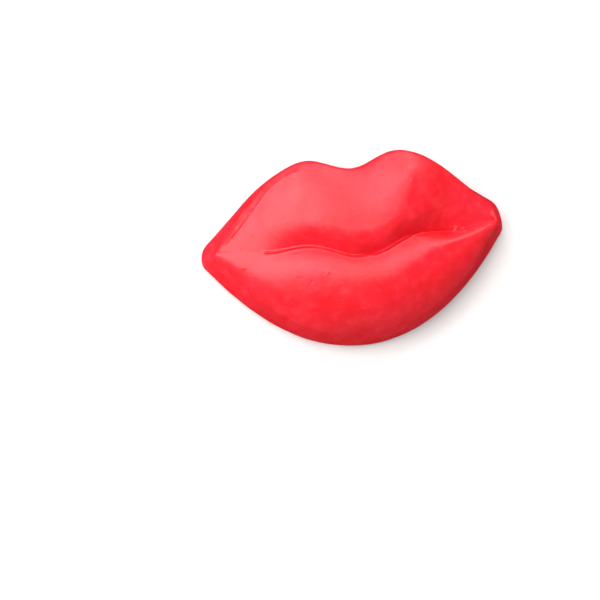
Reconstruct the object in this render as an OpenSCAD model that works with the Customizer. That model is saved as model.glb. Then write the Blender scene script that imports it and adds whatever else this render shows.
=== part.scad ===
// Lips-shaped soap bar, cast in one piece.
// It lies on its flat back: the lips face +Z, the corners of the mouth point
// along X and the upper lip is on the +Y side. Millimetres.
// The origin is the middle of the flat back's bounding box.

/* [Outline] */
// Width from corner to corner
bar_w = 96.8; // [80:0.2:130]
// Height of the two peaks above the corners
upper_h = 26.3; // [20:0.1:34]
// Depth of the lower lip below the corners
lower_h = 32.6; // [26:0.1:42]
// Distance between the two peaks of the upper lip
peak_gap = 28; // [20:0.5:36]
// How far the bow dips between the peaks
bow_dip = 4; // [0:0.1:8]
// Height of the control point that fills the upper outline on the left
fill_left = 14.3; // [10:0.1:18]
// Height of the control point that fills the upper outline on the right
fill_right = 15.3; // [10:0.1:18]
// Depth of the control point that fills the lower outline beside the middle
lower_fill = 24.7; // [18:0.1:30]
// Length of each rounded corner along X
corner_len = 2.6; // [1.5:0.1:6]
// Height of the left rounded corner above its tip
corner_up_left = 5.3; // [3:0.1:9]
// Height of the right rounded corner above its tip
corner_up_right = 8; // [3:0.1:9]
// Depth of each rounded corner below its tip
corner_down = 4.9; // [3:0.1:7]

/* [Body] */
// Height of the upper lip's crest above the back
crest_h = 27.6; // [22:0.1:36]
// How much lower the lower lip's crest is
lower_setback = 1.8; // [0:0.1:3]
// Height of the upper lip where the mouth ends, near the corners
end_h = 13.5; // [11:0.1:17]
// How much higher the lower lip stands there, at the left end
left_step = 1.2; // [0:0.1:3]
// How much higher the lower lip stands there, at the right end
right_step = 3.2; // [0:0.1:5]
// Distance between the two folds beside the upper lip's middle lobe
fold_gap = 32; // [24:0.5:44]
// How far the left fold leans outward for each millimetre up the lip
lean_left = 0.08; // [0:0.01:0.6]
// How far the right fold leans outward for each millimetre up the lip
lean_right = 0.42; // [0:0.01:0.6]
// Half-length of the bend at the left fold
fold_soft_left = 4.5; // [0.8:0.1:6]
// Half-length of the bend at the right fold
fold_soft_right = 2.2; // [0.8:0.1:6]
// How square the upper lip's section is, in the middle
upper_square = 2.6; // [2:0.1:5]
// How square the upper lip's section is, past the peaks
wing_square = 4.2; // [2:0.1:5]
// How square the lower lip's section is
lower_square = 3.4; // [2:0.1:5]
// How tightly the upper lip rounds over at its rim
upper_round = 1; // [1:0.05:2]
// How tightly the lower lip rounds over at its rim
lower_round = 1.1; // [1:0.05:2]

/* [Mouth crease] */
// Depth of the crease below the upper lip's crest
crease_d = 4.8; // [1:0.1:7]
// Width of the upper lip's slope down to the crease
crease_upper_w = 8.2; // [5:0.1:12]
// Width of the lower lip's slope down to the crease, in the middle
crease_lower_w = 11; // [6:0.1:13]
// Share of that width that is left near the left corner
crease_narrow_left = 0.8; // [0.3:0.01:1]
// Share of that width that is left near the right corner
crease_narrow_right = 0.34; // [0.3:0.01:1]
// Distance from the tip of the corner to the end of the mouth line
mouth_gap = 4.8; // [4:0.1:8]
// Half-length of the middle part of the crease that has its full depth
crease_full = 11; // [8:0.5:18]
// Distance from the left end of the mouth line at which the crease has faded out
crease_fade_left = 8; // [1:0.1:12]
// Distance from the right end of the mouth line at which the crease has faded out
crease_fade_right = 2; // [1:0.1:12]
// How far the mouth line lies below the corners, beside the middle
mouth_drop = 0.9; // [0:0.1:3]
// How far the mouth line sags under the middle lobe
mouth_sag = 4.5; // [0:0.1:7]
// Half-width of that sag
sag_w = 10.5; // [7:0.1:13]
// Rise of the mouth line toward the corners
mouth_rise = 2.6; // [0:0.1:4]
// Length over which it rises
rise_len = 16; // [10:0.5:22]
// How far the sag is off the middle, to the right
sag_off = 0.8; // [0:0.1:2]

/* [Side wall] */
// How far the upper lip falls from its crest to the rim, in the middle
upper_drop = 5.5; // [3:0.1:9]
// How far the upper lip falls to the rim at the corners
upper_end_drop = 2.4; // [1:0.1:4]
// How far the lower lip falls from its crest to the rim, in the middle
lower_drop = 13.8; // [8:0.1:16]
// How far the lower lip falls to the rim at the corners
lower_end_drop = 4.5; // [2:0.1:6]
// How far the wall leans inward up to the rim
wall_draft = 3; // [0.5:0.1:3.6]
// How far it leans inward along the top, between the peaks
top_draft = 0.3; // [0:0.1:3]
// Radius of the edge around the flat back
back_r = 2.5; // [1:0.1:4]

/* [Smoothness] */
// Steps along each half of the outline, without the corner
side_steps = 27; // [12:1:40]
// Steps around half of a corner
corner_steps = 7; // [4:1:12]
// Steps from the mouth line to the rim
front_steps = 24; // [10:1:34]
// Steps up the side wall
wall_steps = 4; // [2:1:8]
// Steps around the back edge
back_steps = 4; // [2:1:8]

/* [Hidden] */
half_w = bar_w / 2;
peak_x = peak_gap / 2;
fold_x = fold_gap / 2;
shoulder_x = half_w - corner_len;
mouth_half = half_w - mouth_gap;
// A circle's handle length, as a share of its radius
arc_handle = 0.55;
// Share of the corner's height that stays upright at the tip
tip_handle = 0.5;
// Height up the lip at which a fold stands at half the gap, and how soon it levels off
lean_from = 9;
lean_span = 12;
// Length over which the lean fades out toward the corners
lean_fade = 20;
// Length over which the left fold's form changes into the right one's, across the middle
side_blend = 24;
// How the lower crest falls toward the corners
lower_fall_power = 2.2;
// Where the lower slope starts to narrow, and over what length it does so
narrow_from = 8;
narrow_len = 24;
// Length past each peak over which the section becomes that of the wings
wing_blend = 14;
// How the upper wall's lean grows from the peaks to the corners
draft_growth = 1.5;
// How flat-bottomed the sag is, and the small hump beside it
sag_power = 2.6;
hump_h = 0.6;
hump_x = 19.5;
hump_w = 5.5;
// Share of even steps in the spacing from mouth line to rim; the rest crowd at the rim
even_share = 0.45;
// How the wall's lean is spread over its height
draft_power = 1.3;
middle_y = (upper_h - lower_h) / 2;

function mix(a, b, t) = a + (b - a) * t;
function bezier(a, b, c, d, t) =
    pow(1 - t, 3) * a + 3 * pow(1 - t, 2) * t * b + 3 * (1 - t) * t * t * c + pow(t, 3) * d;
function ease(t) = let (u = min(max(t, 0), 1)) u * u * (3 - 2 * u);
function soft_ramp(x, w) = w * ln(1 + exp(x / w));

// Outline of the right half. A station is [x, corner]: corner runs from 0 at
// the shoulder to 1 at the tip, and is -1 on the long side before it.
function corner_x(t) =
    bezier(shoulder_x, shoulder_x + arc_handle * corner_len, half_w, half_w, t);
half_stations = concat(
    [for (k = [0 : side_steps - 1]) [shoulder_x * k / side_steps, -1]],
    [for (k = [0 : corner_steps]) [corner_x(k / corner_steps), k / corner_steps]]
);

lower_slope = 3 * (lower_fill - corner_down) / shoulder_x;

function upper_side_y(x, up, fill) =
    let (bow_y = upper_h - bow_dip, t = (x - peak_x) / (shoulder_x - peak_x))
    x < peak_x
        ? bezier(bow_y, bow_y, upper_h, upper_h, x / peak_x)
        : bezier(upper_h, upper_h, fill, up, t);
function lower_side_y(x) =
    bezier(-lower_h, -lower_h, -lower_fill, -corner_down, x / shoulder_x);
function corner_y(side, slope, t) =
    bezier(side, side + slope * arc_handle * corner_len, side * tip_handle, 0, t);

function upper_y(st) =
    let (
        up = st[0] < 0 ? corner_up_left : corner_up_right,
        fill = st[0] < 0 ? fill_left : fill_right,
        slope = 3 * (up - fill) / (shoulder_x - peak_x)
    )
    st[1] < 0 ? upper_side_y(abs(st[0]), up, fill) : corner_y(up, slope, st[1]);
function lower_y(st) =
    st[1] < 0 ? lower_side_y(abs(st[0])) : corner_y(-corner_down, lower_slope, st[1]);

// The stations from the left tip to the right tip, as [x, corner]
last = len(half_stations) - 1;
stations = concat(
    [for (k = [last : -1 : 1]) [-half_stations[k][0], half_stations[k][1]]],
    half_stations
);
count = len(stations);
around = 2 * count - 2;

// A place on the closed outline runs along the upper lip, then back along the lower
function station_of(i) = i < count ? i : around - i;
function edge_at(i) =
    let (st = stations[station_of(i)])
    [st[0], i < count ? upper_y(st) : lower_y(st)];
outline = [for (i = [0 : around - 1]) edge_at(i)];

// 0 on the upper lip, 1 on the lower, and a smooth change around each corner
function lip_at(i) =
    let (st = stations[station_of(i)], half = 0.5 * ease(max(st[1], 0)))
    i < count ? half : 1 - half;

// The outline moved inward along its own normal
function normal_at(i) =
    let (
        before = outline[(i + around - 1) % around],
        after = outline[(i + 1) % around],
        along = (after - before) / norm(after - before)
    )
    [along[1], -along[0]];
function inset_at(i, distance) = outline[i] + distance * normal_at(i);
// How far a place lies past its peak, and the wall's lean that follows from it
function past_peak(i) = max(abs(outline[i][0]) - peak_x, 0);
function draft_at(i) =
    let (growth = pow(past_peak(i) / (half_w - peak_x), draft_growth))
    mix(mix(top_draft, wall_draft, growth), wall_draft, lip_at(i));
function rim_at(i) = inset_at(i, draft_at(i));

// Mouth line
function mouth_y(x) =
    let (
        a = abs(x - sag_off),
        rise = mouth_rise * ease((a - mouth_half + rise_len) / rise_len),
        sag = mouth_sag * exp(-pow(a / sag_w, sag_power)),
        hump = hump_h * exp(-pow((a - hump_x) / hump_w, 2))
    )
    -mouth_drop - sag + hump + rise;
function mouth_at(i) =
    let (x = stations[station_of(i)][0] * mouth_half / half_w) [x, mouth_y(x)];

// 0 left of the middle lobe and 1 right of it
function rightward(x) = ease(x / side_blend + 0.5);
// How far outward the nearer fold has moved, at a point of the upper lip
function fold_reach(p) =
    let (u = (p[1] - lean_from) / lean_span)
    mix(lean_left, lean_right, rightward(p[0])) * lean_span * u / sqrt(1 + u * u);
// Height of the two crests, before the crease and the rim are taken off
function upper_crest(p) =
    let (
        a = abs(p[0]),
        lean = fold_reach(p) * ease((mouth_half - a) / lean_fade),
        fall = (crest_h - end_h) / (mouth_half - fold_x),
        soft = mix(fold_soft_left, fold_soft_right, rightward(p[0]))
    )
    crest_h - fall * soft_ramp(a - lean - fold_x, soft);
function lower_crest(p) =
    let (
        top = crest_h - lower_setback,
        end = end_h + (p[0] < 0 ? left_step : right_step)
    )
    top - (top - end) * pow(abs(p[0]) / mouth_half, lower_fall_power);
function crest(p, lip) = mix(upper_crest(p), lower_crest(p), lip);

function rim_z(i) =
    let (
        outward = ease(abs(outline[i][0]) / half_w),
        upper = mix(upper_drop, upper_end_drop, outward),
        lower = mix(lower_drop, lower_end_drop, outward)
    )
    crest(rim_at(i), lip_at(i)) - mix(upper, lower, lip_at(i));

// Height of the bottom of the crease
function mouth_z(p) =
    let (fade_end = mouth_half - (p[0] < 0 ? crease_fade_left : crease_fade_right))
    upper_crest(p) - crease_d * (1 - ease((abs(p[0]) - crease_full) / (fade_end - crease_full)));

// Width of the slope down to the crease, for the lip on one side of the mouth line
function crease_w(m, lip) =
    let (
        narrow = m[0] < 0 ? crease_narrow_left : crease_narrow_right,
        toward_end = ease((abs(m[0]) - narrow_from) / narrow_len)
    )
    mix(crease_upper_w, crease_lower_w, lip) * mix(1, narrow, toward_end * lip);

// A point of the front, at the share s of the way from the mouth line to the rim
function front_point(i, s) =
    let (
        m = mouth_at(i),
        rim = rim_at(i),
        lip = lip_at(i),
        p = mix(m, rim, s),
        reach = norm(rim - m),
        width = min(crease_w(m, lip), reach),
        near = max(1 - s * reach / width, 0),
        cut = (crest(m, lip) - mouth_z(m)) * near * near,
        wing = ease(past_peak(i) / wing_blend),
        square = mix(mix(upper_square, wing_square, wing), lower_square, lip),
        round_over = mix(upper_round, lower_round, lip),
        body = pow(max(1 - pow(s, square), 0), 1 / round_over)
    )
    [p[0], p[1], mix(rim_z(i), crest(p, lip), body) - cut];
function front_share(k) =
    let (t = k / front_steps) even_share * t + (1 - even_share) * sin(90 * t);

// Rings of points: the front, then the wall from rim to foot, then the back edge
function ring_point(i, inset, z) = let (p = inset_at(i, inset)) [p[0], p[1], z];
function wall_point(i, up) =
    ring_point(i, draft_at(i) * pow(up, draft_power), mix(back_r, rim_z(i), up));
function back_point(i, turn) = ring_point(i, back_r * (1 - cos(turn)), back_r * (1 - sin(turn)));
function ring(kind, k) =
    [for (i = [0 : around - 1])
        kind == "front" ? front_point(i, front_share(k))
        : kind == "wall" ? wall_point(i, 1 - k / wall_steps)
        : back_point(i, 90 * k / back_steps)];
rings = concat(
    [for (k = [1 : front_steps]) ring("front", k)],
    [for (k = [1 : wall_steps]) ring("wall", k)],
    [for (k = [1 : back_steps]) ring("back", k)]
);
mouth_points = [for (i = [0 : count - 1])
    let (m = mouth_at(i)) [m[0], m[1], mouth_z(m)]];
points = concat(mouth_points, [for (r = rings) each r]);

function vertex(r, i) = r < 0 ? station_of(i % around) : count + r * around + i % around;
// Two triangles between four corners, cut along the shorter diagonal. The corners
// and the faces run clockwise seen from outside.
function patch(a, b, c, d) =
    norm(points[a] - points[c]) < norm(points[b] - points[d])
        ? [[a, b, c], [a, c, d]]
        : [[a, b, d], [b, c, d]];
faces = concat(
    [for (r = [-1 : len(rings) - 2], i = [0 : around - 1])
        each patch(vertex(r, i), vertex(r + 1, i), vertex(r + 1, i + 1), vertex(r, i + 1))],
    [[for (i = [around - 1 : -1 : 0]) vertex(len(rings) - 1, i)]]
);

module soap_bar() {
    color("crimson")
        translate([0, -middle_y, 0])
            polyhedron(points = points, faces = faces, convexity = 4);
}

soap_bar();
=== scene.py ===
"""Lips-shaped soap bar: the cast bar with its fine surface, and the studio it lies in.

The bar lies on its flat back with the lips facing up. Lengths are in metres, in the
part's own frame: +X to the right corner of the mouth, +Y toward the upper lip.
"""

import math

import bpy
import numpy as np
from bpy.props import (
    FloatProperty,
    FloatVectorProperty,
    IntProperty,
    PointerProperty,
)
from bpy.types import Operator, Panel, PropertyGroup
from mathutils import Matrix, Vector


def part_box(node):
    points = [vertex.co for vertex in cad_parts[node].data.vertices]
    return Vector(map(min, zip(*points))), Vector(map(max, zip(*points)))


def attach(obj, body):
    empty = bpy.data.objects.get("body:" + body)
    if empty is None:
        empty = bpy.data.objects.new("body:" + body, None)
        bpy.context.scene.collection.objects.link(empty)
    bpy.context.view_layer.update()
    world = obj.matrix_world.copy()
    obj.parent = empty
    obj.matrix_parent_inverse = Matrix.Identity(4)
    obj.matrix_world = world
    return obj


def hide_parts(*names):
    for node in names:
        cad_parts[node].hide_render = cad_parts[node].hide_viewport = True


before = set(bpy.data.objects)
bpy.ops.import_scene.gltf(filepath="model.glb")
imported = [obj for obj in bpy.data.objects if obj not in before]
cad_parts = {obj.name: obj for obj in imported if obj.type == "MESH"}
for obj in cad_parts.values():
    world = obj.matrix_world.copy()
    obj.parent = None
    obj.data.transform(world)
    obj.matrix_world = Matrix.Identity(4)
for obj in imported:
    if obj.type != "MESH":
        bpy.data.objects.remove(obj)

bl_info = {
    "name": "Lips Soap Bar",
    "version": (1, 0, 0),
    "blender": (4, 5, 0),
    "location": "3D View > Sidebar > Soap Bar",
    "description": "Builds a lips-shaped bar of soap with its cast surface, and a plain studio",
    "category": "Object",
}

BAR_NODE = "soap_bar"
BODY = "root"
BOX_LOW, BOX_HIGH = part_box(BAR_NODE)
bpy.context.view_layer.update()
MM = 0.001


# ---------------------------------------------------------------------------
# Sizes and finishes that a user would change
# ---------------------------------------------------------------------------


class SoapOutlineSettings(PropertyGroup):
    """The bar's outline and side wall"""

    width: FloatProperty(
        name="Width",
        description="Distance from corner to corner",
        default=BOX_HIGH.x - BOX_LOW.x,
        unit="LENGTH",
    )
    height: FloatProperty(
        name="Height",
        description="Distance from the peaks to the bottom of the lower lip",
        default=BOX_HIGH.y - BOX_LOW.y,
        unit="LENGTH",
    )
    upper_height: FloatProperty(
        name="Upper height",
        description="Height of the two peaks above the corners",
        default=0.0263,
        unit="LENGTH",
    )
    peak_gap: FloatProperty(
        name="Peak gap",
        description="Distance between the two peaks of the upper lip",
        default=0.028,
        unit="LENGTH",
    )
    bow_dip: FloatProperty(
        name="Bow dip",
        description="How far the bow dips between the peaks",
        default=0.004,
        unit="LENGTH",
    )
    fill_left: FloatProperty(
        name="Left fill",
        description="Height of the control point that fills the upper outline on the left",
        default=0.0143,
        unit="LENGTH",
    )
    fill_right: FloatProperty(
        name="Right fill",
        description="Height of the control point that fills the upper outline on the right",
        default=0.0153,
        unit="LENGTH",
    )
    lower_fill: FloatProperty(
        name="Lower fill",
        description="Depth of the control point that fills the lower outline",
        default=0.0247,
        unit="LENGTH",
    )
    corner_length: FloatProperty(
        name="Corner length",
        description="Length of each rounded corner along X",
        default=0.0026,
        unit="LENGTH",
    )
    corner_up_left: FloatProperty(
        name="Left corner up",
        description="Height of the left rounded corner above its tip",
        default=0.0053,
        unit="LENGTH",
    )
    corner_up_right: FloatProperty(
        name="Right corner up",
        description="Height of the right rounded corner above its tip",
        default=0.008,
        unit="LENGTH",
    )
    corner_down: FloatProperty(
        name="Corner down",
        description="Depth of each rounded corner below its tip",
        default=0.0049,
        unit="LENGTH",
    )
    wall_draft: FloatProperty(
        name="Wall draft",
        description="How far the side wall leans inward up to the rim",
        default=0.003,
        unit="LENGTH",
    )
    top_draft: FloatProperty(
        name="Top draft",
        description="The same lean along the top, between and at the peaks",
        default=0.0003,
        unit="LENGTH",
    )
    back_radius: FloatProperty(
        name="Back radius",
        description="Radius of the edge around the flat back",
        default=0.0025,
        unit="LENGTH",
    )
    back_hollow: FloatProperty(
        name="Back hollow",
        description="How far the poured back has sunk in its middle",
        default=0.0004,
        unit="LENGTH",
    )


class SoapReliefSettings(PropertyGroup):
    """The relief of the two lips"""

    crest: FloatProperty(
        name="Crest",
        description="Height of the upper lip's crest above the back",
        default=0.0276,
        unit="LENGTH",
    )
    setback: FloatProperty(
        name="Setback",
        description="How much lower the lower lip's crest is",
        default=0.0018,
        unit="LENGTH",
    )
    end_height: FloatProperty(
        name="End height",
        description="Height of the upper lip where the mouth ends",
        default=0.0135,
        unit="LENGTH",
    )
    left_step: FloatProperty(
        name="Left step",
        description="How much higher the lower lip stands than the upper at the left end",
        default=0.0012,
        unit="LENGTH",
    )
    right_step: FloatProperty(
        name="Right step",
        description="How much higher the lower lip stands than the upper at the right end",
        default=0.0032,
        unit="LENGTH",
    )
    fold_gap: FloatProperty(
        name="Fold gap",
        description="Distance between the folds beside the middle lobe",
        default=0.032,
        unit="LENGTH",
    )
    lean_left: FloatProperty(
        name="Left fold lean",
        description="How far the left fold leans outward for each metre up the lip",
        default=0.08,
    )
    lean_right: FloatProperty(
        name="Right fold lean",
        description="How far the right fold leans outward for each metre up the lip",
        default=0.42,
    )
    fold_depth: FloatProperty(
        name="Fold depth",
        description="Depth of the narrow valley in each fold",
        default=0.00015,
        unit="LENGTH",
    )
    crease_depth: FloatProperty(
        name="Crease depth",
        description="Depth of the mouth crease below the upper crest",
        default=0.0048,
        unit="LENGTH",
    )
    crease_upper: FloatProperty(
        name="Upper slope",
        description="Width of the upper lip's slope down to the crease",
        default=0.0082,
        unit="LENGTH",
    )
    crease_lower: FloatProperty(
        name="Lower slope",
        description="Width of the lower lip's slope down to the crease",
        default=0.011,
        unit="LENGTH",
    )
    mouth_gap: FloatProperty(
        name="Mouth gap",
        description="Distance from a corner's tip to the end of the mouth line",
        default=0.0048,
        unit="LENGTH",
    )
    upper_drop: FloatProperty(
        name="Upper drop",
        description="How far the upper lip falls from its crest to the rim in the middle",
        default=0.0055,
        unit="LENGTH",
    )
    upper_end_drop: FloatProperty(
        name="Upper end drop",
        description="The same fall at the corners",
        default=0.0024,
        unit="LENGTH",
    )
    lower_drop: FloatProperty(
        name="Lower drop",
        description="How far the lower lip falls from its crest to the rim in the middle",
        default=0.0138,
        unit="LENGTH",
    )
    lower_end_drop: FloatProperty(
        name="Lower end drop",
        description="The same fall at the corners",
        default=0.0045,
        unit="LENGTH",
    )
    seam_height: FloatProperty(
        name="Seam height",
        description="Height of the fine raised line along the mouth",
        default=0.0006,
        unit="LENGTH",
    )
    trim_depth: FloatProperty(
        name="Trim depth",
        description="Depth of the step left where the rim was trimmed",
        default=0.0003,
        unit="LENGTH",
    )


class SoapSurfaceSettings(PropertyGroup):
    """The unevenness of the cast surface"""

    lump_size: FloatProperty(
        name="Lump size",
        description="Width of the soft lumps of a bar smoothed by hand",
        default=0.014,
        unit="LENGTH",
    )
    lump_height: FloatProperty(
        name="Lump height",
        description="Height of the soft lumps",
        default=0.0005,
        unit="LENGTH",
    )
    pit_density: FloatProperty(
        name="Pit density",
        description="Air pinholes for each square metre of surface",
        default=26000.0,
    )
    pit_radius: FloatProperty(
        name="Pit radius",
        description="Radius of the largest pinholes",
        default=0.00042,
        unit="LENGTH",
    )
    pit_depth: FloatProperty(
        name="Pit depth",
        description="Depth of the largest pinholes",
        default=0.0002,
        unit="LENGTH",
    )
    fleck_density: FloatProperty(
        name="Fleck density",
        description="Stuck flecks of soap for each square metre of surface",
        default=7000.0,
    )
    fleck_radius: FloatProperty(
        name="Fleck radius",
        description="Radius of the largest flecks",
        default=0.0005,
        unit="LENGTH",
    )
    fleck_height: FloatProperty(
        name="Fleck height",
        description="Height of the largest flecks",
        default=0.0003,
        unit="LENGTH",
    )
    seed: IntProperty(
        name="Seed",
        description="Where the pinholes and flecks fall",
        default=11,
    )


class SoapFinishSettings(PropertyGroup):
    """Colours of the soap and of the floor"""

    red: FloatVectorProperty(
        name="Soap",
        description="Colour of the soap",
        subtype="COLOR",
        size=3,
        min=0.0,
        max=1.0,
        default=(0.64, 0.0045, 0.018),
    )
    pale_red: FloatVectorProperty(
        name="Rubbed soap",
        description="Colour where the surface is rubbed and chalky",
        subtype="COLOR",
        size=3,
        min=0.0,
        max=1.0,
        default=(0.74, 0.026, 0.042),
    )
    deep_red: FloatVectorProperty(
        name="Deep soap",
        description="Colour of the denser streaks",
        subtype="COLOR",
        size=3,
        min=0.0,
        max=1.0,
        default=(0.58, 0.002, 0.008),
    )
    roughness: FloatProperty(
        name="Roughness",
        description="Roughness of the satin surface",
        subtype="FACTOR",
        min=0.0,
        max=1.0,
        default=0.46,
    )
    floor: FloatVectorProperty(
        name="Floor",
        description="Colour of the studio floor",
        subtype="COLOR",
        size=3,
        min=0.0,
        max=1.0,
        default=(0.62, 0.62, 0.61),
    )


class SoapStudioSettings(PropertyGroup):
    """Camera and lights"""

    camera_turn: FloatProperty(
        name="Camera turn",
        description="How far the camera stands toward the left corner",
        subtype="ANGLE",
        default=math.radians(8),
    )
    camera_drop: FloatProperty(
        name="Camera drop",
        description="How far the camera stands toward the lower lip",
        subtype="ANGLE",
        default=math.radians(3),
    )
    camera_roll: FloatProperty(
        name="Camera roll",
        description="How far the bar's right corner is raised in the view",
        subtype="ANGLE",
        default=math.radians(7.4),
    )
    camera_distance: FloatProperty(
        name="Camera distance",
        description="Distance from the camera to the bar",
        default=0.62,
        unit="LENGTH",
    )
    view_width: FloatProperty(
        name="View width",
        description="Width of what the camera sees at the bar",
        default=0.1875,
        unit="LENGTH",
    )
    right_of_centre: FloatProperty(
        name="Right of centre",
        description="How far the bar sits right of the middle of the view",
        default=0.01766,
        unit="LENGTH",
    )
    above_centre: FloatProperty(
        name="Above centre",
        description="How far the bar sits above the middle of the view",
        default=0.01953,
        unit="LENGTH",
    )
    key_power: FloatProperty(
        name="Key light",
        description="Power of the large soft light at the upper left",
        default=36.0,
        unit="POWER",
    )
    top_power: FloatProperty(
        name="Top light",
        description="Power of the soft light above the upper lip",
        default=7.5,
        unit="POWER",
    )
    rim_power: FloatProperty(
        name="Rim light",
        description="Power of the light high at the upper right",
        default=6.0,
        unit="POWER",
    )
    fill_power: FloatProperty(
        name="Fill light",
        description="Power of the soft light at the lower right",
        default=3.5,
        unit="POWER",
    )
    ambient: FloatProperty(
        name="Ambient",
        description="Strength of the even light from all round",
        default=0.65,
    )


# ---------------------------------------------------------------------------
# Shape of the bar
# ---------------------------------------------------------------------------

# Places around the outline, and rows of points down the front, the wall, the back's rounded
# edge and the flat back
PLACES = 560
FRONT_ROWS = 100
WALL_ROWS = 18
EDGE_ROWS = 8
BACK_ROWS = 14
OUTLINE_SAMPLES = 4001
# Share of the front's rows that crowd toward the mouth line, and how strongly they do so
CROWDED_SHARE = 0.45
FRONT_CROWDING = 1.5
# How strongly the wall's rows crowd under the rim
WALL_CROWDING = 1.6
# How soon the hollow of the back reaches its depth, going in from the edge
HOLLOW_RAMP = 2.2
# Rows on each side of the rim that are averaged to soften its edge, and how many times
RIM_REACH = 8
RIM_PASSES = 14

# A circle's handle length as a share of its radius, and the share of a corner's height that
# stays upright at its tip
ARC_HANDLE = 0.55
TIP_HANDLE = 0.5
# Length past each peak over which the upper lip takes the section of its wings
WING_BLEND = 14 * MM
# How the upper wall's lean grows from the peaks to the corners, and then up the wall
DRAFT_GROWTH = 1.5
DRAFT_POWER = 1.3

# The mouth line: its drop below the corners, its sag, the hump on each side of the sag, and
# its rise toward the corners
MOUTH_DROP = 0.9 * MM
SAG_DEPTH = 4.5 * MM
SAG_WIDTH = 10.5 * MM
SAG_POWER = 2.6
SAG_OFF_MIDDLE = 0.8 * MM
HUMP_HEIGHT = 0.6 * MM
HUMP_PLACE = 19.5 * MM
HUMP_WIDTH = 5.5 * MM
RISE_HEIGHT = 2.6 * MM
RISE_LENGTH = 16 * MM

# The mouth crease: its full depth in the middle, where it has faded out before each end of
# the mouth line, and how its lower slope narrows toward the ends
CREASE_FULL = 11 * MM
CREASE_FADE_LEFT = 8 * MM
CREASE_FADE_RIGHT = 2 * MM
NARROW_LEFT = 0.8
NARROW_RIGHT = 0.34
NARROW_FROM = 8 * MM
NARROW_LENGTH = 24 * MM

# The folds: the height at which they stand at half their gap, how soon their lean levels off
# up the lip and fades toward the corners, and the half-length of the bend at each
LEAN_FROM = 9 * MM
LEAN_SPAN = 12 * MM
LEAN_FADE = 20 * MM
SIDE_BLEND = 24 * MM
FOLD_SOFT_LEFT = 4.5 * MM
FOLD_SOFT_RIGHT = 2.2 * MM

# How the lower crest falls toward the corners, and the form of each lip's section
LOWER_FALL_POWER = 2.2
UPPER_SQUARE = 2.6
WING_SQUARE = 4.2
LOWER_SQUARE = 3.4
UPPER_ROUND = 1.0
LOWER_ROUND = 1.1

# Soft bulges left by smoothing the bar by hand: x, y, radius and height in millimetres,
# with y measured from the line through the corners
BULGES = ((16.5, 17.5, 4.0, 0.4), (-1.5, -9.5, 4.5, 0.25), (-27.0, 9.0, 5.0, 0.2))

# Crumbs of soap stuck along the left rim and at the left end of the mouth line, in the
# same measures
CRUMBS = (
    (-42.4, 3.8, 0.55, 0.5),
    (-41.3, 6.4, 0.5, 0.4),
    (-37.4, 8.8, 0.6, 0.5),
    (-32.2, 12.4, 0.5, 0.4),
    (-29.6, -0.6, 0.45, 0.35),
    (-36.6, -4.5, 0.4, 0.3),
)

# The rough patch in the right part of the crease: how many crumbs it has, its middle and
# half-size in millimetres, how its middle line falls to the right, and the least and most
# radius and height of a crumb
PATCH_SEED = 4
PATCH_CRUMBS = 26
PATCH_X = 30.8
PATCH_Y = -0.5
PATCH_HALF_LENGTH = 2.4
PATCH_HALF_WIDTH = 0.8
PATCH_SLOPE = -0.25
PATCH_RADIUS = (0.35, 0.55)
PATCH_RISE = (0.05, 0.3)
# Length over which the bulges and crumbs fade out at the rim
MARKS_FADE = 1.5 * MM


def mix(a, b, t):
    return a + (b - a) * t


def bezier(a, b, c, d, t):
    return (1 - t) ** 3 * a + 3 * (1 - t) ** 2 * t * b + 3 * (1 - t) * t**2 * c + t**3 * d


def ease(t):
    u = np.clip(t, 0.0, 1.0)
    return u * u * (3 - 2 * u)


def hump(x, middle, half_width):
    return np.exp(-(((x - middle) / half_width) ** 2))


def soft_ramp(x, width):
    return width * np.logaddexp(0.0, x / width)


def there_and_back(there, back):
    """Joins values of the upper edge, left to right, to the lower edge's, right to left"""
    return np.concatenate([there, back[-2:0:-1]])


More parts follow.
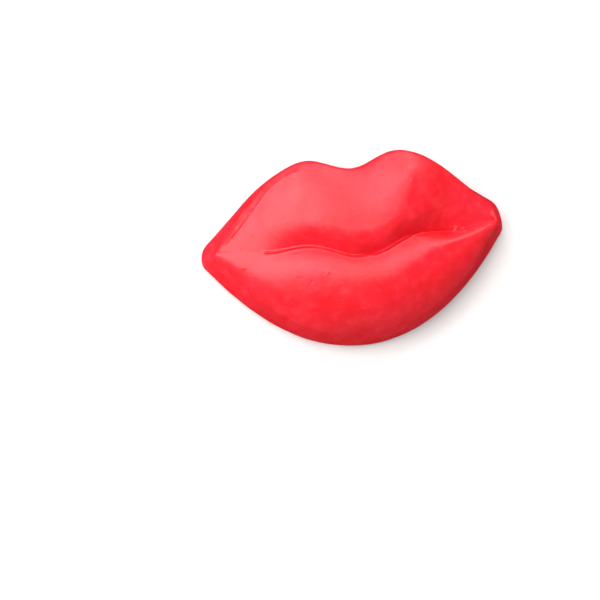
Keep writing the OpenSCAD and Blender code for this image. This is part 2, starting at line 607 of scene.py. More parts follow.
class BarOutline:
    """The closed outline, the mouth line inside it, and which lip each place belongs to"""

    def __init__(self, outline, relief, places):
        self.outline = outline
        self.half_width = outline.width / 2
        self.shoulder = self.half_width - outline.corner_length
        self.mouth_half = self.half_width - relief.mouth_gap
        left_side = (outline.corner_up_left, outline.fill_left)
        right_side = (outline.corner_up_right, outline.fill_right)
        run = np.linspace(0.0, 2.0, OUTLINE_SAMPLES)
        x, upper, lower = self.half_edge(run, *left_side)
        step = np.hypot(np.diff(x), np.diff(upper)) + np.hypot(np.diff(x), np.diff(lower))
        length = np.concatenate([[0.0], np.cumsum(step)])
        even = np.interp(np.linspace(0.0, length[-1], places // 4 + 1), length, run)
        x, left, lower = self.half_edge(even, *left_side)
        right = self.half_edge(even, *right_side)[1]
        all_x = np.concatenate([-x[:0:-1], x])
        top = np.column_stack([all_x, np.concatenate([left[:0:-1], right])])
        low = np.column_stack([all_x, np.concatenate([lower[:0:-1], lower])])
        self.edge = there_and_back(top, low)
        turn = 0.5 * ease(even - 1.0)
        turns = np.concatenate([turn[:0:-1], turn])
        self.lip = there_and_back(turns, 1.0 - turns)
        mouth_x = self.edge[:, 0] * self.mouth_half / self.half_width
        self.mouth = np.column_stack([mouth_x, self.mouth_y(mouth_x)])
        along = np.roll(self.edge, -1, axis=0) - np.roll(self.edge, 1, axis=0)
        along /= np.linalg.norm(along, axis=1, keepdims=True)
        self.inward = np.column_stack([along[:, 1], -along[:, 0]])
        past_peak = np.clip(np.abs(self.edge[:, 0]) - outline.peak_gap / 2, 0.0, None)
        self.wing = ease(past_peak / WING_BLEND)
        growth = (past_peak / (self.half_width - outline.peak_gap / 2)) ** DRAFT_GROWTH
        top_draft = mix(outline.top_draft, outline.wall_draft, growth)
        self.draft = mix(top_draft, outline.wall_draft, self.lip)
        self.rim = self.inset(self.draft)

    def half_edge(self, run, corner_up, fill):
        """x, upper y and lower y of one half: run goes 0 to 1 to the shoulder, 2 at the tip"""
        o = self.outline
        side = np.clip(run, 0.0, 1.0)
        turn = np.clip(run - 1.0, 0.0, 1.0)
        handle = ARC_HANDLE * o.corner_length
        side_x = side * self.shoulder
        corner_x = bezier(
            self.shoulder, self.shoulder + handle, self.half_width, self.half_width, turn
        )
        peak_x = o.peak_gap / 2
        wing_length = self.shoulder - peak_x
        bow_y = o.upper_height - o.bow_dip
        bow = bezier(bow_y, bow_y, o.upper_height, o.upper_height, side_x / peak_x)
        wing = bezier(
            o.upper_height, o.upper_height, fill, corner_up, (side_x - peak_x) / wing_length
        )
        upper_slope = 3 * (corner_up - fill) / wing_length
        upper_corner = self.corner(corner_up, upper_slope * handle, turn)
        lower_height = o.height - o.upper_height
        lower_side = bezier(-lower_height, -lower_height, -o.lower_fill, -o.corner_down, side)
        lower_slope = 3 * (o.lower_fill - o.corner_down) / self.shoulder
        lower_corner = self.corner(-o.corner_down, lower_slope * handle, turn)
        upper = np.where(run > 1.0, upper_corner, np.where(side_x < peak_x, bow, wing))
        lower = np.where(run > 1.0, lower_corner, lower_side)
        return np.where(run > 1.0, corner_x, side_x), upper, lower

    @staticmethod
    def corner(start, lead, turn):
        """y around a corner, from its start on the long side to 0 at its tip"""
        return bezier(start, start + lead, start * TIP_HANDLE, 0.0, turn)

    def mouth_y(self, x):
        """Height of the mouth line at x, from the line through the corners"""
        a = np.abs(x - SAG_OFF_MIDDLE)
        rise = RISE_HEIGHT * ease((a - self.mouth_half + RISE_LENGTH) / RISE_LENGTH)
        sag = SAG_DEPTH * np.exp(-((a / SAG_WIDTH) ** SAG_POWER))
        return -MOUTH_DROP - sag + HUMP_HEIGHT * hump(a, HUMP_PLACE, HUMP_WIDTH) + rise

    def inset(self, distance):
        """The outline moved inward by a distance for each place"""
        return self.edge + np.asarray(distance)[..., None] * self.inward


def rightward(x):
    """0 left of the middle lobe and 1 right of it, with a smooth change across it"""
    return ease(x / SIDE_BLEND + 0.5)


def fold_reach(relief, x, y):
    """How far a fold has leaned outward at y, levelling off at both ends of the fold"""
    u = (y - LEAN_FROM) / LEAN_SPAN
    lean = mix(relief.lean_left, relief.lean_right, rightward(x))
    return lean * LEAN_SPAN * u / np.sqrt(1.0 + u * u)


def upper_crest(relief, outline, x, y):
    """Height of the upper lip's crest: a flat middle lobe that falls away past each fold"""
    a = np.abs(x)
    lean = fold_reach(relief, x, y) * ease((outline.mouth_half - a) / LEAN_FADE)
    past = a - lean - relief.fold_gap / 2
    fall = (relief.crest - relief.end_height) / (outline.mouth_half - relief.fold_gap / 2)
    bend = mix(FOLD_SOFT_LEFT, FOLD_SOFT_RIGHT, rightward(x))
    return relief.crest - fall * soft_ramp(past, bend)


def lower_crest(relief, outline, x):
    """Height of the lower lip's crest, which falls away evenly from the middle"""
    top = relief.crest - relief.setback
    end = relief.end_height + np.where(x < 0, relief.left_step, relief.right_step)
    return top - (top - end) * (np.abs(x) / outline.mouth_half) ** LOWER_FALL_POWER


def both_crests(relief, outline, x, y, lip):
    """Height of the crest of whichever lip a place is on, mixed around the corners"""
    upper = upper_crest(relief, outline, x, y)
    return mix(upper, lower_crest(relief, outline, x), lip)


def rim_height(relief, outline, lip):
    """Height of the rim: the crest above it, less the fall from crest to rim"""
    toward_end = ease(np.abs(outline.edge[:, :1]) / outline.half_width)
    upper_drop = mix(relief.upper_drop, relief.upper_end_drop, toward_end)
    lower_drop = mix(relief.lower_drop, relief.lower_end_drop, toward_end)
    crest = both_crests(relief, outline, outline.rim[:, :1], outline.rim[:, 1:], lip)
    return crest - mix(upper_drop, lower_drop, lip)


def crease_fade(outline, x):
    """1 in the middle of the mouth and 0 where the crease has run out near the corners"""
    end = outline.mouth_half - np.where(x < 0, CREASE_FADE_LEFT, CREASE_FADE_RIGHT)
    return 1.0 - ease((np.abs(x) - CREASE_FULL) / (end - CREASE_FULL))


def crease_cut(relief, outline, away, reach, lip):
    """Depth taken off at a distance from the mouth line, deepest on the line itself"""
    x, y = outline.mouth[:, :1], outline.mouth[:, 1:]
    depth = relief.crease_depth * crease_fade(outline, x)
    bottom = upper_crest(relief, outline, x, y) - depth
    crest = both_crests(relief, outline, x, y, lip)
    narrowest = np.where(x < 0, NARROW_LEFT, NARROW_RIGHT)
    toward_end = ease((np.abs(x) - NARROW_FROM) / NARROW_LENGTH)
    narrow = mix(1.0, narrowest, toward_end * lip)
    width = np.minimum(mix(relief.crease_upper, relief.crease_lower, lip) * narrow, reach)
    near = np.clip(1.0 - away / width, 0.0, None)
    return (crest - bottom) * near**2


def fold_valleys(relief, x, y, share):
    """The narrow valley in each fold, crisp on the right and soft on the left. It starts
    just above the mouth line and runs out before the rim."""
    full_at, gone_at, run_out = 0.12, 0.85, 0.35
    past = np.abs(x) - fold_reach(relief, x, y) - relief.fold_gap / 2
    window = ease(share / full_at) * ease((gone_at - share) / run_out)
    crisp = 1.3 * hump(past, 0.3 * MM, 1.8 * MM)
    soft = 0.8 * hump(past, 0.5 * MM, 3.0 * MM)
    return -relief.fold_depth * window * np.where(x > 0, crisp, soft)


def mouth_seam(relief, x, away):
    """The fine raised line where the mould's two lips met, with the groove under it. It
    fades over a short run at each end and is nearly broken just right of the middle.
    away is the distance from the mouth line, positive on the upper lip."""
    left_end, right_end, end_run = -32 * MM, 18 * MM, 5 * MM
    along = ease((x - left_end) / end_run) * ease((right_end - x) / end_run)
    break_place, break_width, break_share = 1.8 * MM, 2.2 * MM, 0.8
    unbroken = 1.0 - break_share * hump(x, break_place, break_width)
    ridge_place, ridge_width = 0.05 * MM, 0.37 * MM
    ridge = hump(away, ridge_place, ridge_width)
    groove_place, groove_share = 1.2 * MM, 0.3
    below = np.clip(-away, 0.0, None) / groove_place
    groove = below * np.exp(1.0 - below)
    return relief.seam_height * along * (unbroken * ridge - groove_share * groove)


def trimmed_rim(relief, x, to_rim):
    """The step along the upper left rim where the flash was cut away, with a small lip
    above it. Its line wavers a little at its own distance from the rim."""
    left_end, left_run = -43 * MM, 6 * MM
    right_end, right_run = -15 * MM, 5 * MM
    along = ease((x - left_end) / left_run) * ease((right_end - x) / right_run)
    line_place, waver, waver_length = 2.2 * MM, 0.5 * MM, 3.1 * MM
    line = line_place + waver * np.sin(x / waver_length)
    step_width, lip_place, lip_share = 0.4 * MM, 0.45 * MM, 0.5
    step = ease((line - to_rim) / step_width + 0.5)
    lip = hump(to_rim, line + lip_place, step_width)
    return relief.trim_depth * along * (lip_share * lip - step)


def crease_crumbs():
    """The crumbs of the rough patch, in the same measures as CRUMBS"""
    random = np.random.default_rng(PATCH_SEED)
    crumbs = []
    for _ in range(PATCH_CRUMBS):
        x = PATCH_X + PATCH_HALF_LENGTH * random.uniform(-1, 1)
        middle = PATCH_Y + PATCH_SLOPE * (x - PATCH_X)
        y = middle + PATCH_HALF_WIDTH * random.uniform(-1, 1)
        crumbs.append((x, y, random.uniform(*PATCH_RADIUS), random.uniform(*PATCH_RISE)))
    return crumbs


def hand_marks(x, y):
    """Height of the bulges and crumbs at (x, y)"""
    height = np.zeros_like(x)
    for middle_x, middle_y, radius, rise in (*BULGES, *CRUMBS, *crease_crumbs()):
        square = ((x - middle_x * MM) ** 2 + (y - middle_y * MM) ** 2) / (radius * MM) ** 2
        height += rise * MM * np.exp(-square)
    return height


def front_height(relief, outline, x, y, share, rim_z):
    """Height of the front at (x, y), share of the way from the mouth line to the rim"""
    lip = outline.lip[:, None]
    reach = np.linalg.norm(outline.rim - outline.mouth, axis=1)[:, None]
    square = mix(mix(UPPER_SQUARE, WING_SQUARE, outline.wing[:, None]), LOWER_SQUARE, lip)
    round_over = mix(UPPER_ROUND, LOWER_ROUND, lip)
    body = np.clip(1.0 - share**square, 0.0, None) ** (1.0 / round_over)
    height = mix(rim_z, both_crests(relief, outline, x, y, lip), body)
    height -= crease_cut(relief, outline, share * reach, reach, lip)
    side = np.where(lip < 0.5, 1.0, -1.0)
    on_upper = np.clip(1.0 - 2.0 * lip, 0.0, 1.0)
    to_rim = (1.0 - share) * reach
    height += fold_valleys(relief, x, y, share) * on_upper
    height += mouth_seam(relief, outline.mouth[:, :1], side * share * reach)
    height += trimmed_rim(relief, x, to_rim) * on_upper
    height += hand_marks(x, y) * ease(to_rim / MARKS_FADE)
    return height


def bar_rings(outline, relief):
    """Rings of points from the mouth line over the rim and round to the middle of the back"""
    radius = outline.outline.back_radius
    rim_z = rim_height(relief, outline, outline.lip[:, None])
    t = np.linspace(0.0, 1.0, FRONT_ROWS + 1)[None, :]
    share = CROWDED_SHARE * t**FRONT_CROWDING + (1.0 - CROWDED_SHARE) * t
    x = mix(outline.mouth[:, :1], outline.rim[:, :1], share)
    y = mix(outline.mouth[:, 1:], outline.rim[:, 1:], share)
    z = front_height(relief, outline, x, y, share, rim_z)
    rings = [np.column_stack([x[:, k], y[:, k], z[:, k]]) for k in range(FRONT_ROWS + 1)]
    level = np.ones(len(outline.edge))
    for k in range(1, WALL_ROWS + 1):
        up = 1.0 - (k / WALL_ROWS) ** WALL_CROWDING
        place = outline.inset(outline.draft * up**DRAFT_POWER)
        rings.append(np.column_stack([place, mix(radius, rim_z[:, 0], up)]))
    for k in range(1, EDGE_ROWS + 1):
        turn = math.pi / 2 * k / EDGE_ROWS
        place = outline.inset(level * (radius * (1 - math.cos(turn))))
        rings.append(np.column_stack([place, level * (radius * (1 - math.sin(turn)))]))
    foot = outline.inset(level * radius)
    for k in range(1, BACK_ROWS + 1):
        inner = k / BACK_ROWS
        hollow = outline.outline.back_hollow * ease(inner * HOLLOW_RAMP)
        rings.append(np.column_stack([mix(foot, outline.mouth, inner), level * hollow]))
    return round_rim(np.array(rings))


def round_rim(rings):
    """Softens the edge between the front and the wall by averaging the rings beside it"""
    first, last = FRONT_ROWS - RIM_REACH, FRONT_ROWS + RIM_REACH
    for _ in range(RIM_PASSES):
        beside = rings[first - 1 : last - 1] + rings[first + 1 : last + 1]
        rings[first:last] = (beside + 2 * rings[first:last]) / 4
    return rings


def bar_mesh(outline_settings, relief):
    """The whole skin as one closed mesh. The first and the last ring fold flat on the mouth
    line, so a place of the upper lip and the one across from it share a point there."""
    outline = BarOutline(outline_settings, relief, PLACES)
    rings = bar_rings(outline, relief)
    around = len(outline.edge)
    place = np.arange(around)
    folded = np.minimum(place, around - place)
    line = around // 2 + 1
    points = np.concatenate([rings[0][:line], *rings[1:-1], rings[-1][:line]])
    middle_y = (outline_settings.upper_height * 2 - outline_settings.height) / 2
    points[:, 1] -= middle_y
    points = np.clip(points, np.array(BOX_LOW), np.array(BOX_HIGH))
    starts = [line + r * around for r in range(len(rings) - 1)]
    corners = [folded, *(start + place for start in starts[:-1]), starts[-1] + folded]
    faces = []
    for near, far in zip(corners, corners[1:]):
        next_near, next_far = np.roll(near, -1), np.roll(far, -1)
        faces.extend(np.column_stack([near, next_near, next_far]).tolist())
        faces.extend(np.column_stack([near, next_far, far]).tolist())
    mesh = bpy.data.meshes.new("soap_bar_skin")
    mesh.from_pydata(points.tolist(), [], faces)
    mesh.shade_smooth()
    return mesh


# ---------------------------------------------------------------------------
# Geometry Nodes: lumps, pinholes and flecks of the cast surface
# ---------------------------------------------------------------------------


class NodeSheet:
    """Adds nodes to a tree from left to right and links them by name"""

    def __init__(self, tree):
        self.tree = tree
        self.column = 0

    def add(self, kind, inputs=None, **settings):
        node = self.tree.nodes.new(kind)
        self.column += 1
        node.location = (self.column * 190, -140 * (self.column % 4))
        for key, value in settings.items():
            setattr(node, key, value)
        for key, value in (inputs or {}).items():
            socket = node.inputs[key]
            if isinstance(value, bpy.types.NodeSocket):
                self.tree.links.new(value, socket)
            else:
                socket.default_value = value
        return node

    def math(self, operation, a, b=0.0, clamp=False):
        node = self.add("ShaderNodeMath", {0: a, 1: b}, operation=operation, use_clamp=clamp)
        return node.outputs[0]

    def scale(self, vector, factor):
        node = self.add("ShaderNodeVectorMath", {0: vector, "Scale": factor}, operation="SCALE")
        return node.outputs[0]


def dots_on_surface(sheet, geometry, density, radius, height, seed, patch_scale):
    """Scatters round dots on a surface, closer together in some patches, and gives each
    point's height over it: a smooth dome of its own size at each dot, and 0 between them"""
    position = sheet.add("GeometryNodeInputPosition").outputs[0]
    patches = sheet.add(
        "ShaderNodeTexNoise",
        {"Vector": position, "Scale": patch_scale, "Detail": 1.0},
    ).outputs[0]
    clustered = sheet.add(
        "ShaderNodeMapRange",
        {"Value": patches, "From Min": 0.42, "From Max": 0.68, "To Min": 0.15, "To Max": 2.2},
    ).outputs[0]
    dots = sheet.add(
        "GeometryNodeDistributePointsOnFaces",
        {
            "Mesh": geometry,
            "Density": sheet.math("MULTIPLY", density, clustered),
            "Seed": seed,
        },
    ).outputs["Points"]
    nearest = sheet.add(
        "GeometryNodeSampleNearest", {"Geometry": dots, "Sample Position": position}, domain="POINT"
    ).outputs[0]
    size = sheet.add(
        "FunctionNodeRandomValue",
        {"Min": 0.35, "Max": 1.0, "ID": nearest, "Seed": seed},
        data_type="FLOAT",
    )
    own_size = next(s for s in size.outputs if s.enabled)
    proximity = sheet.add(
        "GeometryNodeProximity", {0: dots, "Source Position": position}, target_element="POINTS"
    )
    reach = sheet.math("MULTIPLY", radius, own_size)
    share = sheet.math("DIVIDE", proximity.outputs["Distance"], reach)
    inside = sheet.math("SUBTRACT", 1.0, share, clamp=True)
    dome = sheet.add(
        "ShaderNodeMapRange", {"Value": inside}, interpolation_type="SMOOTHSTEP"
    ).outputs[0]
    tall = sheet.math("MULTIPLY", height, own_size)
    return sheet.math("MULTIPLY", dome, tall)


# The tree's inputs, and the setting that each one takes its value from
SURFACE_INPUTS = {
    "Lump Size": "lump_size",
    "Lump Height": "lump_height",
    "Pit Density": "pit_density",
    "Pit Radius": "pit_radius",
    "Pit Depth": "pit_depth",
    "Fleck Density": "fleck_density",
    "Fleck Radius": "fleck_radius",
    "Fleck Height": "fleck_height",
    "Seed": "seed",
}
# The level of the noise that neither raises nor sinks the surface
LUMP_LEVEL = 0.55
# How far the flecks' seed is from the pinholes', and how small their patches are
FLECK_SEED_STEP = 5.0
PIT_PATCHES = 90.0
FLECK_PATCHES = 60.0


def cast_surface_tree(material):
    """Geometry Nodes tree that raises soft lumps, sinks pinholes and raises flecks"""
    tree = bpy.data.node_groups.new("Cast Surface", "GeometryNodeTree")
    sockets = tree.interface
    sockets.new_socket("Geometry", in_out="INPUT", socket_type="NodeSocketGeometry")
    for name in SURFACE_INPUTS:
        kind = "NodeSocketInt" if name == "Seed" else "NodeSocketFloat"
        sockets.new_socket(name, in_out="INPUT", socket_type=kind)
    sockets.new_socket("Geometry", in_out="OUTPUT", socket_type="NodeSocketGeometry")
    sheet = NodeSheet(tree)
    given = sheet.add("NodeGroupInput").outputs
    position = sheet.add("GeometryNodeInputPosition").outputs[0]
    normal = sheet.add("GeometryNodeInputNormal").outputs[0]
    lump_scale = sheet.math("DIVIDE", 1.0, given["Lump Size"])
    noise = sheet.add(
        "ShaderNodeTexNoise",
        {"Vector": position, "Scale": lump_scale, "Detail": 4.0, "Roughness": 0.5},
    ).outputs[0]
    rise = sheet.math("SUBTRACT", noise, LUMP_LEVEL)
    lumps = sheet.math("MULTIPLY", rise, given["Lump Height"])
    pits = dots_on_surface(
        sheet,
        given["Geometry"],
        given["Pit Density"],
        given["Pit Radius"],
        given["Pit Depth"],
        given["Seed"],
        PIT_PATCHES,
    )
    flecks = dots_on_surface(
        sheet,
        given["Geometry"],
        given["Fleck Density"],
        given["Fleck Radius"],
        given["Fleck Height"],
        sheet.math("ADD", given["Seed"], FLECK_SEED_STEP),
        FLECK_PATCHES,
    )
    height = sheet.math("ADD", sheet.math("SUBTRACT", lumps, pits), flecks)
    moved = sheet.add(
        "GeometryNodeSetPosition",
        {"Geometry": given["Geometry"], "Offset": sheet.scale(normal, height)},
    ).outputs[0]
    whole = sheet.add("GeometryNodeRealizeInstances", {"Geometry": moved}).outputs[0]
    painted = sheet.add(
        "GeometryNodeSetMaterial", {"Geometry": whole, "Material": material}
    ).outputs[0]
    sheet.add("NodeGroupOutput", {"Geometry": painted})
    return tree


def set_input(modifier, name, value):
    """Sets a modifier's input by the identifier of the socket with this name"""
    for item in modifier.node_group.interface.items_tree:
        if item.item_type == "SOCKET" and item.in_out == "INPUT" and item.name == name:
            modifier[item.identifier] = value
            return
    raise ValueError(f"the tree has no input named {name}")


def apply_tree(obj, tree, values):
    """Runs a Geometry Nodes tree on a piece and keeps the result as its plain mesh"""
    modifier = obj.modifiers.new("Cast Surface", "NODES")
    modifier.node_group = tree
    for name, value in values.items():
        set_input(modifier, name, value)
    bpy.context.view_layer.update()
    graph = bpy.context.evaluated_depsgraph_get()
    result = bpy.data.meshes.new_from_object(obj.evaluated_get(graph))
    obj.modifiers.remove(modifier)
    old = obj.data
    obj.data = result
    bpy.data.meshes.remove(old)


def keep_in_box(mesh):
    """Holds the lumps and flecks inside the bar's own box"""
    places = np.empty(len(mesh.vertices) * 3)
    mesh.vertices.foreach_get("co", places)
    places = np.clip(places.reshape(-1, 3), np.array(BOX_LOW), np.array(BOX_HIGH))
    mesh.vertices.foreach_set("co", places.ravel())
    mesh.update()


# ---------------------------------------------------------------------------
# Materials
# ---------------------------------------------------------------------------


# How much rougher a chalky patch is, and how much smoother than the setting the clean soap is
RUBBED_ROUGHNESS = 0.2
CLEAN_POLISH = 0.04
# Weight of the grain and of the wiped streaks in the bump, and how the streaks are stretched
GRAIN_SHARE = 0.6
STREAK_SHARE = 1.6
STREAK_STRETCH = (1.0, 0.16, 0.3)
# Colour of the floor's darkest fibres, as a share of the floor's own
FIBRE_SHADE = 0.97


def soap_material(finish):
    """Satin red soap: streaky colour, rubbed chalky patches, uneven polish, grain, pores and
    wiped streaks. Every pattern is on Object coordinates, so its scale is per metre."""
    material = bpy.data.materials.new("satin_red_soap")
    material.use_nodes = True
    tree = material.node_tree
    tree.nodes.clear()
    sheet = NodeSheet(tree)
    place = sheet.add("ShaderNodeTexCoord").outputs["Object"]
    streaks = sheet.add(
        "ShaderNodeTexNoise",
        {"Vector": place, "Scale": 55.0, "Detail": 5.0, "Roughness": 0.55, "Distortion": 0.6},
    ).outputs[0]
    streak_amount = sheet.add(
        "ShaderNodeMapRange", {"Value": streaks, "From Min": 0.38, "From Max": 0.66}
    ).outputs[0]
    body_colour = sheet.add(
        "ShaderNodeMix",
        {"Factor": streak_amount, "A": (*finish.deep_red, 1.0), "B": (*finish.red, 1.0)},
        data_type="RGBA",
    )
    body = next(s for s in body_colour.outputs if s.enabled)
    rubbed = sheet.add(
        "ShaderNodeTexNoise",
        {"Vector": place, "Scale": 300.0, "Detail": 5.0, "Roughness": 0.62},
    ).outputs[0]
    rubbed_amount = sheet.add(
        "ShaderNodeMapRange",
        {"Value": rubbed, "From Min": 0.48, "From Max": 0.76, "To Max": 0.42},
    ).outputs[0]
    final = sheet.add(
        "ShaderNodeMix",
        {"Factor": rubbed_amount, "A": body, "B": (*finish.pale_red, 1.0)},
        data_type="RGBA",
    )
    colour = next(s for s in final.outputs if s.enabled)
    handled = sheet.add(
        "ShaderNodeTexNoise",
        {"Vector": place, "Scale": 190.0, "Detail": 5.0, "Roughness": 0.6, "Distortion": 0.4},
    ).outputs[0]
    polish = sheet.add(
        "ShaderNodeMapRange",
        {"Value": handled, "From Min": 0.3, "From Max": 0.7, "To Min": -0.07, "To Max": 0.08},
    ).outputs[0]
    chalky = sheet.math("MULTIPLY", rubbed_amount, RUBBED_ROUGHNESS)
    clean = finish.roughness - CLEAN_POLISH
    roughness = sheet.math("ADD", clean, sheet.math("ADD", chalky, polish))
    grain = sheet.add(
        "ShaderNodeTexNoise",
        {"Vector": place, "Scale": 900.0, "Detail": 3.0, "Roughness": 0.6},
    ).outputs[0]
    pores = sheet.add(
        "ShaderNodeTexVoronoi", {"Vector": place, "Scale": 700.0, "Randomness": 1.0}
    ).outputs["Distance"]
    pore_depth = sheet.add(
        "ShaderNodeMapRange",
        {"Value": pores, "From Min": 0.05, "From Max": 0.3, "To Min": -1.0, "To Max": 0.0},
    ).outputs[0]
    along_lips = sheet.add(
        "ShaderNodeVectorMath", {0: place, 1: STREAK_STRETCH}, operation="MULTIPLY"
    ).outputs[0]
    wiped = sheet.add(
        "ShaderNodeTexNoise",
        {"Vector": along_lips, "Scale": 620.0, "Detail": 2.0, "Roughness": 0.5},
    ).outputs[0]
    fine = sheet.math("MULTIPLY", grain, GRAIN_SHARE)
    uneven = sheet.math("ADD", fine, sheet.math("MULTIPLY", wiped, STREAK_SHARE))
    height = sheet.math("ADD", uneven, pore_depth)
    bump = sheet.add(
        "ShaderNodeBump", {"Strength": 0.35, "Distance": 0.00006, "Height": height}
    ).outputs[0]
    shader = sheet.add(
        "ShaderNodeBsdfPrincipled",
        {
            "Base Color": colour,
            "Roughness": roughness,
            "Normal": bump,
            "IOR": 1.47,
            "Subsurface Weight": 0.4,
            "Subsurface Radius": (1.0, 0.12, 0.1),
            "Subsurface Scale": 0.002,
        },
    )
    sheet.add("ShaderNodeOutputMaterial", {"Surface": shader.outputs[0]})
    return material


def floor_material(finish):
    """Pale paper of the studio floor, with a faint unevenness"""
    material = bpy.data.materials.new("studio_paper")
    material.use_nodes = True
    tree = material.node_tree
    tree.nodes.clear()
    sheet = NodeSheet(tree)
    place = sheet.add("ShaderNodeTexCoord").outputs["Object"]
    fibre = sheet.add(
        "ShaderNodeTexNoise", {"Vector": place, "Scale": 30.0, "Detail": 4.0}
    ).outputs[0]
    shade = tuple(FIBRE_SHADE * c for c in finish.floor)
    paper = sheet.add(
        "ShaderNodeMix",
        {"Factor": fibre, "A": (*finish.floor, 1.0), "B": (*shade, 1.0)},
        data_type="RGBA",
    )
    colour = next(s for s in paper.outputs if s.enabled)
    shader = sheet.add("ShaderNodeBsdfPrincipled", {"Base Color": colour, "Roughness": 0.85})
    sheet.add("ShaderNodeOutputMaterial", {"Surface": shader.outputs[0]})
    return material


# ---------------------------------------------------------------------------
# Operators
# ---------------------------------------------------------------------------


class SOAP_OT_cast_bar(Operator):
    """Cast the bar: its lips, wall and back, with lumps, pinholes and flecks"""

    bl_idname = "soap.cast_bar"
    bl_label = "Cast the Bar"

    def execute(self, context):
        scene = context.scene
        surface = scene.soap_surface
        obj = bpy.data.objects.new(
            "soap_bar_skin", bar_mesh(scene.soap_outline, scene.soap_relief)
        )
        scene.collection.objects.link(obj)
        material = soap_material(scene.soap_finish)
        values = {name: getattr(surface, key) for name, key in SURFACE_INPUTS.items()}
        apply_tree(obj, cast_surface_tree(material), values)
        keep_in_box(obj.data)
        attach(obj, BODY)
        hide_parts(BAR_NODE)
        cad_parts[BAR_NODE].data.materials.clear()
        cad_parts[BAR_NODE].data.materials.append(material)
        return {"FINISHED"}


# Each light's name, place along the view's right, up and toward-the-camera directions,
# distance and size in metres, and whether it shows in reflections
LIGHTS = (
    ("key", (-0.85, 0.3, 0.9), 1.2, 1.6, True),
    ("top", (0.05, 0.65, 1.0), 1.2, 0.9, True),
    ("rim", (0.55, 1.1, 0.45), 1.2, 0.6, True),
    ("fill", (0.7, -0.5, 0.8), 1.4, 0.9, False),
)
FLOOR_HALF = 4.0
# How far the line through the corners lies above the middle of the bar's box, and the height
# on it that the camera turns about
CORNERS_ABOVE_MIDDLE = 4.15 * MM
SIGHT_HEIGHT = 12 * MM
# Width of the camera's sensor, in millimetres
SENSOR_WIDTH = 36.0


class SOAP_OT_set_up_studio(Operator):
    """Lay the pale floor, hang the soft lights and place the camera"""

    bl_idname = "soap.set_up_studio"
    bl_label = "Set Up the Studio"

    def execute(self, context):
        scene = context.scene
        lay_floor(scene)
        hang_lights(scene)
        place_camera(scene)
        return {"FINISHED"}


def lay_floor(scene):
    """A wide pale floor under the bar, left out of the reflections"""
    half = FLOOR_HALF
    mesh = bpy.data.meshes.new("studio_floor")
    corners = [(-half, -half, 0), (half, -half, 0), (half, half, 0), (-half, half, 0)]
    mesh.from_pydata(corners, [], [(0, 1, 2, 3)])
    mesh.materials.append(floor_material(scene.soap_finish))
    floor = bpy.data.objects.new("studio_floor", mesh)
    scene.collection.objects.link(floor)
    floor.visible_glossy = False


def view_axes(studio):
    """The view's right, up and toward-the-camera directions"""
    turn, drop, roll = studio.camera_turn, studio.camera_drop, studio.camera_roll
    toward = Vector(
        (
            -math.sin(turn) * math.cos(drop),
            -math.sin(drop),
            math.cos(turn) * math.cos(drop),
        )
    )
    right = Vector((math.cos(turn), 0.0, math.sin(turn)))
    up = toward.cross(right)
    rolled_right = right * math.cos(roll) - up * math.sin(roll)
    rolled_up = right * math.sin(roll) + up * math.cos(roll)
    return rolled_right, rolled_up, toward


def hang_lights(scene):
    """Square lights around the bar, each turned to its middle, and even light from all round"""
    studio = scene.soap_studio
    right, up, toward = view_axes(studio)
    middle = (BOX_LOW + BOX_HIGH) / 2
    for name, place, distance, size, glossy in LIGHTS:
        direction = right * place[0] + up * place[1] + toward * place[2]
        data = bpy.data.lights.new(f"{name}_light", "AREA")
        data.shape = "SQUARE"
        data.size = size
        data.energy = getattr(studio, f"{name}_power")
        light = bpy.data.objects.new(f"{name}_light", data)
        light.location = middle + direction.normalized() * distance
        light.rotation_euler = direction.to_track_quat("Z", "Y").to_euler()
        light.visible_glossy = glossy
        scene.collection.objects.link(light)
    world = bpy.data.worlds.new("studio_air")
    scene.world = world
    world.use_nodes = True
    air = world.node_tree.nodes["Background"]
    air.inputs["Color"].default_value = (1.0, 1.0, 1.0, 1.0)
    air.inputs["Strength"].default_value = studio.ambient
    world.cycles_visibility.glossy = False
    scene.view_settings.view_transform = "Standard"


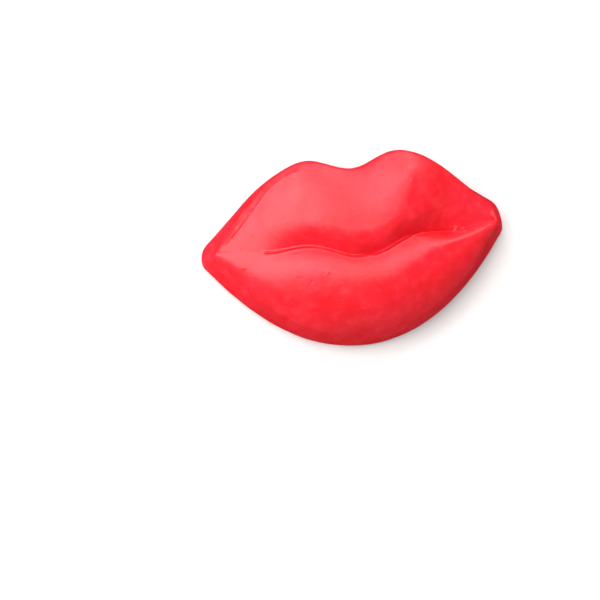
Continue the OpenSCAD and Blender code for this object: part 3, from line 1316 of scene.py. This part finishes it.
def place_camera(scene):
    """A camera turned, dropped and rolled about a point on the line through the corners"""
    studio = scene.soap_studio
    right, up, toward = view_axes(studio)
    middle_y = (BOX_LOW.y + BOX_HIGH.y) / 2
    corner_line = Vector((0.0, middle_y + CORNERS_ABOVE_MIDDLE, SIGHT_HEIGHT))
    data = bpy.data.cameras.new("studio_camera")
    data.sensor_width = SENSOR_WIDTH
    data.lens = data.sensor_width * studio.camera_distance / studio.view_width
    camera = bpy.data.objects.new("studio_camera", data)
    scene.collection.objects.link(camera)
    camera.location = corner_line + toward * studio.camera_distance
    target = corner_line - right * studio.right_of_centre - up * studio.above_centre
    ahead = (target - camera.location).normalized()
    side = ahead.cross(up).normalized()
    top = side.cross(ahead)
    turned = Matrix((side, top, -ahead)).transposed()
    camera.rotation_euler = turned.to_euler()
    scene.camera = camera


class SOAP_PT_panel(Panel):
    """Lists the steps and settings of the soap bar"""

    bl_label = "Soap Bar"
    bl_idname = "SOAP_PT_panel"
    bl_space_type = "VIEW_3D"
    bl_region_type = "UI"
    bl_category = "Soap Bar"

    def draw(self, context):
        layout = self.layout
        for operator in OPERATORS:
            layout.operator(operator.bl_idname)
        for title, group in SETTINGS.items():
            box = layout.box()
            box.label(text=title.replace("soap_", "").capitalize())
            settings = getattr(context.scene, title)
            for name in group.__annotations__:
                box.prop(settings, name)


OPERATORS = (SOAP_OT_cast_bar, SOAP_OT_set_up_studio)
SETTINGS = {
    "soap_outline": SoapOutlineSettings,
    "soap_relief": SoapReliefSettings,
    "soap_surface": SoapSurfaceSettings,
    "soap_finish": SoapFinishSettings,
    "soap_studio": SoapStudioSettings,
}
CLASSES = (*SETTINGS.values(), *OPERATORS, SOAP_PT_panel)


def register():
    for cls in CLASSES:
        bpy.utils.register_class(cls)
    for name, group in SETTINGS.items():
        setattr(bpy.types.Scene, name, PointerProperty(type=group))


def unregister():
    for name in SETTINGS:
        delattr(bpy.types.Scene, name)
    for cls in reversed(CLASSES):
        bpy.utils.unregister_class(cls)


def main():
    register()
    bpy.ops.soap.cast_bar()
    bpy.ops.soap.set_up_studio()


if __name__ == "__main__":
    main()
